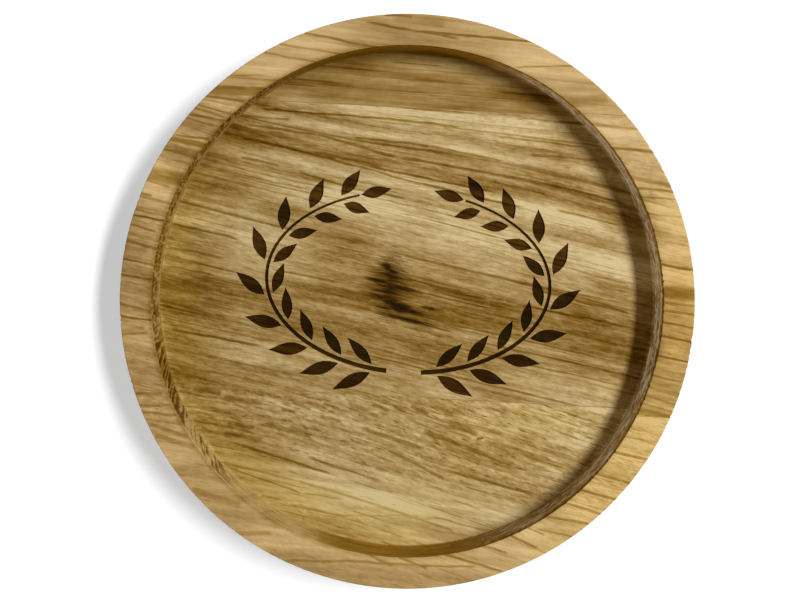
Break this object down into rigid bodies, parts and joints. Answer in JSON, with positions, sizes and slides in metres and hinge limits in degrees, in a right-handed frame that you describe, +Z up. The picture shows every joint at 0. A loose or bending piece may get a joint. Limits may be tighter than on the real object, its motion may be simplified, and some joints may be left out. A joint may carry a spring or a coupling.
{
  "type": "wooden coaster",
  "caption": "Round oak coaster milled from an edge-glued panel, with a shallow flat recess inside a raised rim that holds the foot of a glass.",
  "frame": {"origin": "middle of the underside, on the surface that the coaster lies on", "axes": "+Z up along the disc's axis, +X along the staves and their glue lines, +Y across the staves towards the narrow upper stave"},
  "size_m": [0.1, 0.1, 0.01],
  "materials": {
    "oak_upper": "oiled oak, fine straight grain",
    "oak_middle": "oiled oak, open straight grain",
    "oak_lower": "oiled oak, short coarse grain",
    "wood_glue": "cured wood glue film"
  },
  "bodies": {
    "root": {"upper_stave": "oak_upper", "upper_glue_line": "wood_glue", "middle_stave": "oak_middle", "lower_glue_line": "wood_glue", "lower_stave": "oak_lower"}
  },
  "joints": []
}
